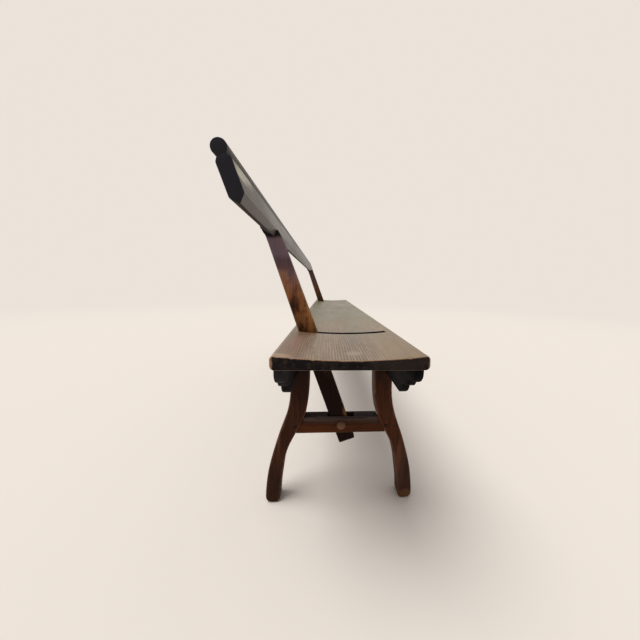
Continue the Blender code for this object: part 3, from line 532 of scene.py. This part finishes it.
def relaxed(mesh, values, passes):
    """Values on a mesh's points, each replaced by its neighbours' mean, this many times."""
    count = len(mesh.vertices)
    pairs = np.empty(len(mesh.edges) * 2, dtype=int)
    mesh.edges.foreach_get("vertices", pairs)
    first, second = pairs[0::2], pairs[1::2]
    near = np.bincount(first, minlength=count) + np.bincount(second, minlength=count)
    for _ in range(passes):
        both = np.bincount(first, values[second], count) + np.bincount(second, values[first], count)
        values = both / near
    return values


def standing_out(mesh, passes):
    """How far each point of an even mesh stands out from, or sinks below, the mesh relaxed flat."""
    points = np.empty(len(mesh.vertices) * 3)
    mesh.vertices.foreach_get("co", points)
    points = points.reshape(-1, 3)
    normals = np.empty(len(mesh.vertices) * 3)
    mesh.vertex_normals.foreach_get("vector", normals)
    flat = np.column_stack([relaxed(mesh, points[:, axis], passes) for axis in range(3)])
    return relaxed(mesh, ((points - flat) * normals.reshape(-1, 3)).sum(axis=1), STEADY_PASSES)


def set_share(mesh, name, values, domain="POINT"):
    """Keep a share from 0 to 1 for each point or face, for the materials to read."""
    attribute = mesh.attributes.new(name, "FLOAT", domain)
    attribute.data.foreach_set("value", np.clip(values, 0, 1).astype(np.float32))


def finish_piece(piece, node, smooth_angle=None, end_finish=None):
    """Give a finished piece its body and its finish, and hide the CAD node that it stands for."""
    piece.data.materials.clear()
    piece.data.materials.append(FINISHES[SLOTS[node]])
    if end_finish:
        piece.data.materials.append(end_finish)
        for face in piece.data.polygons:
            face.material_index = int(abs(face.normal.x) > ALONG)
    only(piece)
    if smooth_angle is None:
        bpy.ops.object.shade_smooth()
    else:
        bpy.ops.object.shade_smooth_by_angle(angle=smooth_angle)
    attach(piece, BODIES[node])
    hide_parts(node)


def merged_copy(node):
    """A copy of a CAD piece with its loose triangles joined, open for work in edit mode."""
    piece = bpy.data.objects.new("old_" + node, frame["nodes"][node].data.copy())
    bpy.context.scene.collection.objects.link(piece)
    only(piece)
    bpy.ops.object.mode_set(mode="EDIT")
    bpy.ops.mesh.select_all(action="SELECT")
    bpy.ops.mesh.remove_doubles(threshold=JOINED)
    return piece


# Age on the legs, stretchers, arms and pegs: the grid that each is remeshed on, in metres, and what
# counts there as an arris and as rubbed bare, in shares of that grid. Few relaxing passes show the sharp
# arrises and more show the broad rounds, and noise leaves some places sharp.
GRIDS = {"leg": 0.0018, "stretcher": 0.0016, "back_arm": 0.0016, "pivot_peg": 0.0007}
ARRIS_SHARE, BARE_SHARE = 0.06, 0.7
NARROW_PASSES, WIDE_PASSES, WEAR_PASSES = 4, 8, 4
WEAR_PER_METRE, WEAR_FLOOR = 28, -0.15


def rounded_by_age(node, grid):
    """An even, finer copy of a CAD piece whose arrises age has rounded, but not everywhere."""
    piece = merged_copy(node)
    bpy.ops.object.mode_set(mode="OBJECT")
    piece.data.remesh_voxel_size = grid
    bpy.ops.object.voxel_remesh()
    mesh = piece.data
    out = standing_out(mesh, NARROW_PASSES)
    mesh.vertices.foreach_set("select", [
        bool(out[i] > grid * ARRIS_SHARE) and noise.noise(v.co * WEAR_PER_METRE) > WEAR_FLOOR
        for i, v in enumerate(mesh.vertices)])
    bpy.ops.object.mode_set(mode="EDIT")
    bpy.ops.mesh.vertices_smooth(factor=0.5, repeat=WEAR_PASSES)
    bpy.ops.object.mode_set(mode="OBJECT")
    out = standing_out(mesh, WIDE_PASSES)
    set_share(mesh, "worn", out / (grid * BARE_SHARE))
    # darker in the hollows, where the mesh sinks below its relaxed shape
    set_share(mesh, "hollows", -out / (grid * BARE_SHARE))
    finish_piece(piece, node)


def pick(piece, kind, test):
    """In edit mode, select the points, edges or faces of a piece that pass a test."""
    bpy.ops.mesh.select_mode(type={"verts": "VERT", "edges": "EDGE", "faces": "FACE"}[kind])
    bpy.ops.mesh.select_all(action="DESELECT")
    shape = bmesh.from_edit_mesh(piece.data)
    for item in getattr(shape, kind):
        item.select_set(test(item))
    shape.select_flush_mode()
    bmesh.update_edit_mesh(piece.data)


# Rounds on the long rails, in metres, and the angles between faces that tell a flat from an arris
RAIL_ROUND, RAIL_WEAR = 0.0012, 0.5
FLAT_ANGLE, ARRIS_ANGLE, SMOOTH_ANGLE = radians(0.3), 0.5, radians(30)
HOLE_MARGIN = 0.002


def softened_copy(node, cut):
    """A true copy of a CAD piece with a small round on its arrises, but not in its screw holes."""
    piece = merged_copy(node)
    bpy.ops.mesh.dissolve_limited(angle_limit=FLAT_ANGLE)
    holes = [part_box(name) for name in frame["nodes"] if "screw" in name]

    def is_arris(edge):
        if len(edge.link_faces) != 2 or edge.calc_face_angle() < ARRIS_ANGLE:
            return False
        middle = (edge.verts[0].co + edge.verts[1].co) / 2
        return not any(
            all(low[i] - HOLE_MARGIN < middle[i] < high[i] + HOLE_MARGIN for i in range(3))
            for low, high in holes)

    pick(piece, "edges", is_arris)
    piece.data.materials.append(None)
    bpy.ops.mesh.bevel(offset=cut, segments=3, affect="EDGES", clamp_overlap=True, material=1)
    bpy.ops.object.mode_set(mode="OBJECT")
    rounds = [RAIL_WEAR * face.material_index for face in piece.data.polygons]
    set_share(piece.data, "worn", rounds, "FACE")
    finish_piece(piece, node, SMOOTH_ANGLE)


def start_block(name, low, high):
    """A squared length of wood between two corners, open for work in edit mode."""
    bpy.ops.object.select_all(action="DESELECT")
    middle = [(a + b) / 2 for a, b in zip(low, high)]
    size = [b - a for a, b in zip(low, high)]
    bpy.ops.mesh.primitive_cube_add(size=1, location=middle, scale=size)
    piece = bpy.context.object
    piece.name = piece.data.name = name
    bpy.ops.object.transform_apply(location=True, rotation=True, scale=True)
    bpy.ops.object.mode_set(mode="EDIT")
    return piece


def mark_out(axis, places):
    """Cut lines of edges right round a piece, square to one axis."""
    for place in places:
        spot = [0.0, 0.0, 0.0]
        square = [0.0, 0.0, 0.0]
        spot[axis], square[axis] = place, 1.0
        bpy.ops.mesh.select_all(action="SELECT")
        bpy.ops.mesh.bisect(plane_co=spot, plane_no=square)


def runs_along(edge, axis):
    """Whether an edge lies along an axis."""
    ends = [vert.co for vert in edge.verts]
    return abs(ends[0][axis] - ends[1][axis]) > ALONG * (ends[0] - ends[1]).length


def at(value, *places):
    """Whether a value is at one of these places."""
    return min(abs(value - place) for place in places) < TOUCH


def soften_ends(piece, low, high, cut, segments):
    """Round the rim of both end faces."""
    pick(piece, "edges", lambda e: all(at(v.co.x, low, high) for v in e.verts) and
         len({abs(f.normal.x) > ALONG for f in e.link_faces}) == 2)
    bpy.ops.mesh.bevel(offset=cut, segments=segments, affect="EDGES")


# Distances from an end in metres, and shares of the half length
END_STEPS = (0.002, 0.004, 0.0065, 0.010, 0.015, 0.022, 0.032, 0.048, 0.070, 0.10)
MIDDLE_SHARES = (0.15, 0.3, 0.45, 0.6)


def end_stations(reach, extra=()):
    """Places along a length, close together near both ends and around the extra places."""
    near = [reach - step for step in END_STEPS] + list(extra)
    middle = [reach * share for share in MIDDLE_SHARES]
    return sorted({sign * place for place in near + middle for sign in (-1, 1)} | {0.0})


# The plank, in metres: its flat margins, dish and rounds, and its slots
SEAT_MARGIN, SEAT_DISH, SEAT_ROWS = 0.010, 0.0075, 90
SEAT_TOP_ROUND, SEAT_BOTTOM_ROUND, SEAT_END_ROUND = 0.0075, 0.009, 0.0012
SEAT_END_INSETS = (0.0035, 0.0045)
SEAT_SMOOTH_ANGLE = radians(40)
ARM_SIDE_PLAY, SLOT_REACH = 0.0015, 0.1142
SLOT_STEPS = (-0.012, -0.004, 0.004, 0.012)

# Its lost wood: corners rounded in plan, nicks along the end arrises, chips on the long ones. A lane
# is where in the noise the nicks or chips are read, so that the two ends differ.
CORNER_ROUND, CORNER_LENGTH = 0.0030, 0.022
NICK_REACH, NICKS_PER_METRE, NICK_FLOOR, NICK_LANES = 0.007, 85, 0.10, (3.0, 2.0)
END_LOSS, NICK_DEPTH, NICK_INWARD = 0.0004, 0.0036, 0.0022
CHIP_LENGTH, CHIP_WIDTH, CHIP_HEIGHT = 0.30, 0.006, 0.010
CHIPS_ALONG, CHIPS_ACROSS, CHIP_FLOOR, CHIP_LANE, CHIP_DEPTH = 60, 9, 0.15, 2.0, 0.0045

# Its rubbed places: the wear at an arris or a corner, and the distance over which 1 of it fades
END_WEAR, END_FADE, END_TOP_FADE = 1.00, 0.0040, 0.0028
REAR_CORNER_WEAR, FRONT_CORNER_WEAR, CORNER_END_FADE, CORNER_SIDE_FADE = 1.62, 1.45, 0.016, 0.0045
LONG_WEAR, REAR_LONG_FADE, FRONT_LONG_FADE = 0.90, 0.014, 0.010
UNDER_WEAR, UNDER_END_FADE, UNDER_LONG_FADE = 0.60, 0.0030, 0.009


def dish_depth(across, half):
    """How far the dished top lies under the plank's edges, this far from its middle line."""
    return SEAT_DISH * max(0, 1 - (across / half) ** 2)


def cut_slots(piece, slots):
    """Open the arms' slots through the plank and line them."""
    def over_slot(face):
        spot = face.calc_center_median()
        inside = any(slot[0] < spot.x < slot[1] for slot in slots)
        return inside and abs(spot.y) < SLOT_REACH and abs(face.normal.z) > ALONG

    pick(piece, "faces", over_slot)
    bpy.ops.mesh.delete(type="FACE")
    for slot in slots:
        pick(piece, "edges", lambda e: e.is_boundary and all(
            slot[0] - TOUCH < v.co.x < slot[1] + TOUCH for v in e.verts))
        bpy.ops.mesh.bridge_edge_loops()


def wear_seat(piece, low, high, half):
    """Take the lost wood off the plank, and note how bare each point is rubbed."""
    worn = []
    for vert in piece.data.vertices:
        spot = vert.co
        side = 1 if spot.x > 0 else -1
        rear = spot.y > 0
        from_end = high.x - abs(spot.x)
        from_side = high.y - abs(spot.y)
        from_top = max(0.0, high.z - dish_depth(spot.y, half) - spot.z)
        from_bottom = spot.z - low.z
        if from_side < CORNER_ROUND:
            inset = CORNER_ROUND - (CORNER_ROUND ** 2 - (CORNER_ROUND - from_side) ** 2) ** 0.5
            spot.x -= side * inset * max(0.0, 1 - from_end / CORNER_LENGTH)
        edge = max(0.0, 1 - (from_end + from_top) / NICK_REACH)
        nick = max(0.0, noise.noise(Vector((
            side * NICK_LANES[0], spot.y * NICKS_PER_METRE, NICK_LANES[1]))) - NICK_FLOOR)
        spot.z -= edge * (END_LOSS + NICK_DEPTH * nick)
        spot.x -= side * edge * NICK_INWARD * nick
        chip = max(0.0, noise.noise(Vector((
            spot.x * CHIPS_ALONG, side * CHIP_LANE, spot.y * CHIPS_ACROSS))) - CHIP_FLOOR)
        if from_side < CHIP_WIDTH and from_top < CHIP_HEIGHT and from_end < CHIP_LENGTH:
            spot.y -= (1 if rear else -1) * CHIP_DEPTH * chip
        corner_wear = REAR_CORNER_WEAR if rear else FRONT_CORNER_WEAR
        long_fade = REAR_LONG_FADE if rear else FRONT_LONG_FADE
        worn.append(max(
            0.0,
            END_WEAR - from_end / END_FADE - from_top / END_TOP_FADE,
            corner_wear - from_end / CORNER_END_FADE - from_side / CORNER_SIDE_FADE,
            LONG_WEAR - (from_side + from_top) / long_fade,
            UNDER_WEAR - (from_end + from_bottom) / UNDER_END_FADE,
            UNDER_WEAR - (from_side + from_bottom) / UNDER_LONG_FADE,
        ))
    set_share(piece.data, "worn", worn)


def build_seat():
    """The plank: dished for its whole length, slotted for the arms, rubbed and nicked at its ends."""
    low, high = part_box("seat_board")
    arms = [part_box("back_arm_left"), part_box("back_arm_right")]
    slots = [(a.x - ARM_SIDE_PLAY, b.x + ARM_SIDE_PLAY) for a, b in arms]
    piece = start_block("old_seat_board", low, high)
    half = high.y - SEAT_MARGIN
    rows = [half * (2 * step / SEAT_ROWS - 1) for step in range(SEAT_ROWS + 1)] + [-SLOT_REACH, SLOT_REACH]
    mark_out(1, rows)
    for row in rows:
        pick(piece, "verts", lambda v: v.co.z > high.z - TOUCH and at(v.co.y, row))
        bpy.ops.transform.translate(value=(0, 0, -dish_depth(row, half)))
    for level, cut in ((high.z, SEAT_TOP_ROUND), (low.z, SEAT_BOTTOM_ROUND)):
        pick(piece, "edges", lambda e: runs_along(e, 0) and all(
            at(v.co.z, level) and at(v.co.y, low.y, high.y) for v in e.verts))
        bpy.ops.mesh.bevel(offset=cut, segments=6, affect="EDGES")
    # Lines beside the far slot, which end_stations repeats beside the near one
    outer = slots[1]
    beside = [edge + step for edge in outer for step in SLOT_STEPS]
    extra = [place for place in beside if not outer[0] < place < outer[1]] + list(outer)
    mark_out(0, end_stations(high.x, extra))
    cut_slots(piece, slots)
    soften_ends(piece, low.x, high.x, SEAT_END_ROUND, 3)
    pick(piece, "faces", lambda f: abs(f.normal.x) > SQUARE and at(f.calc_center_median().x, low.x, high.x))
    for width in SEAT_END_INSETS:
        bpy.ops.mesh.inset(thickness=width, use_even_offset=True)
    bpy.ops.object.mode_set(mode="OBJECT")
    wear_seat(piece, low, high, half)
    finish_piece(piece, "seat_board", SEAT_SMOOTH_ANGLE, SEAT_END_GRAIN)


# The board and the round rail, in metres, upright over the pivot until they are turned to their lean
BACK_PIVOT = Vector((0, 0, 0.224))
BACK_LEAN = radians(19.405)
BACK_WEAR = 0.9
BOARD_HALF, BOARD_FOOT, BOARD_TOP = 0.01225, 0.517, 0.5888
BOARD_BEVEL, BOARD_SHOULDER, BOARD_FLAT = 0.013, 0.0075, 0.00675
BOARD_ROUND, BOARD_END_ROUND, BOARD_WEAR_REACH = 0.0018, 0.0008, 0.003
BOARD_ARRIS_ANGLE = 0.2
TOP_RAIL_RADIUS, TOP_RAIL_HEIGHT, TOP_RAIL_SIDES = 0.01216, 0.59896, 48
TOP_RAIL_GAP, TOP_RAIL_END_ROUND, TOP_RAIL_WEAR_REACH = 0.0003, 0.0012, 0.006


def finish_back_piece(piece, node, arrises, reach):
    """Note the rubbed long arrises (y, z), turn the piece over its pivot to the resting lean, and give the
    faces that look down the dark, dull end-grain finish as painted shade."""
    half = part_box(node)[1].x
    apart = [min((vert.co.yz - Vector(arris)).length for arris in arrises) for vert in piece.data.vertices]
    inside = [abs(vert.co.x) < half - TOUCH for vert in piece.data.vertices]
    set_share(piece.data, "worn", [(BACK_WEAR - gap / reach) * kept for gap, kept in zip(apart, inside)])
    piece.data.transform(Matrix.Translation(BACK_PIVOT) @ Matrix.Rotation(-BACK_LEAN, 4, "X"))
    finish_piece(piece, node, SMOOTH_ANGLE, BACK_END_GRAIN_AND_UNDERSIDE_SHADE)
    # painted shade: faces that look down take the dark end-grain finish
    for face in piece.data.polygons:
        if face.normal.z < DOWNWARD:
            face.material_index = 1


def build_back_board():
    """The back board: V-bevelled foot, narrowed shoulders under the round rail."""
    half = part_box("back_board")[1].x
    piece = start_block("old_back_board", (-half, -BOARD_HALF, BOARD_FOOT), (half, BOARD_HALF, BOARD_TOP))
    knee, shoulder = BOARD_FOOT + BOARD_BEVEL, BOARD_TOP - BOARD_SHOULDER
    mark_out(2, (knee, shoulder))
    pick(piece, "verts", lambda v: at(v.co.z, BOARD_FOOT))
    bpy.ops.transform.resize(value=(1, 0, 1))
    bpy.ops.mesh.select_all(action="SELECT")
    bpy.ops.mesh.remove_doubles(threshold=TOUCH)
    pick(piece, "verts", lambda v: at(v.co.z, BOARD_TOP))
    bpy.ops.transform.resize(value=(1, BOARD_FLAT / BOARD_HALF, 1))
    pick(piece, "edges", lambda e: runs_along(e, 0) and at(e.verts[0].co.z, BOARD_FOOT, knee, shoulder)
         and len(e.link_faces) == 2 and e.calc_face_angle() > BOARD_ARRIS_ANGLE)
    bpy.ops.mesh.bevel(offset=BOARD_ROUND, segments=4, affect="EDGES")
    mark_out(0, end_stations(half))
    soften_ends(piece, -half, half, BOARD_END_ROUND, 2)
    bpy.ops.object.mode_set(mode="OBJECT")
    arrises = [(side * BOARD_HALF, level) for side in (-1, 1) for level in (knee, shoulder)]
    finish_back_piece(piece, "back_board", arrises, BOARD_WEAR_REACH)


def build_top_rail():
    """The round rail, flattened where it sits on the board."""
    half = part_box("back_top_rail")[1].x
    bpy.ops.object.select_all(action="DESELECT")
    bpy.ops.mesh.primitive_cylinder_add(
        vertices=TOP_RAIL_SIDES, radius=TOP_RAIL_RADIUS, depth=2 * half, location=(0, 0, TOP_RAIL_HEIGHT),
        rotation=(0, radians(90), 0))
    piece = bpy.context.object
    piece.name = piece.data.name = "old_back_top_rail"
    bpy.ops.object.transform_apply(location=True, rotation=True, scale=True)
    bpy.ops.object.mode_set(mode="EDIT")
    bpy.ops.mesh.select_all(action="SELECT")
    bpy.ops.mesh.bisect(
        plane_co=(0, 0, BOARD_TOP + TOP_RAIL_GAP), plane_no=(0, 0, 1), use_fill=True, clear_inner=True)
    mark_out(0, end_stations(half))
    soften_ends(piece, -half, half, TOP_RAIL_END_ROUND, 3)
    bpy.ops.object.mode_set(mode="OBJECT")
    crown = (0, TOP_RAIL_HEIGHT + TOP_RAIL_RADIUS)
    finish_back_piece(piece, "back_top_rail", [crown], TOP_RAIL_WEAR_REACH)


build_seat()
build_back_board()
build_top_rail()
for node in ("seat_rail_front", "seat_rail_rear"):
    softened_copy(node, RAIL_ROUND)
for stem, grid in GRIDS.items():
    for node in sorted(frame["nodes"]):
        if node.startswith(stem + "_") and "pin" not in node and "screw" not in node:
            rounded_by_age(node, grid)

for node, shape in frame["nodes"].items():
    shape.data.materials.clear()
    shape.data.materials.append(PIN_WOOD if "pin" in node else FINISHES[SLOTS[node]])

place_camera()
set_light()
lay_floor()
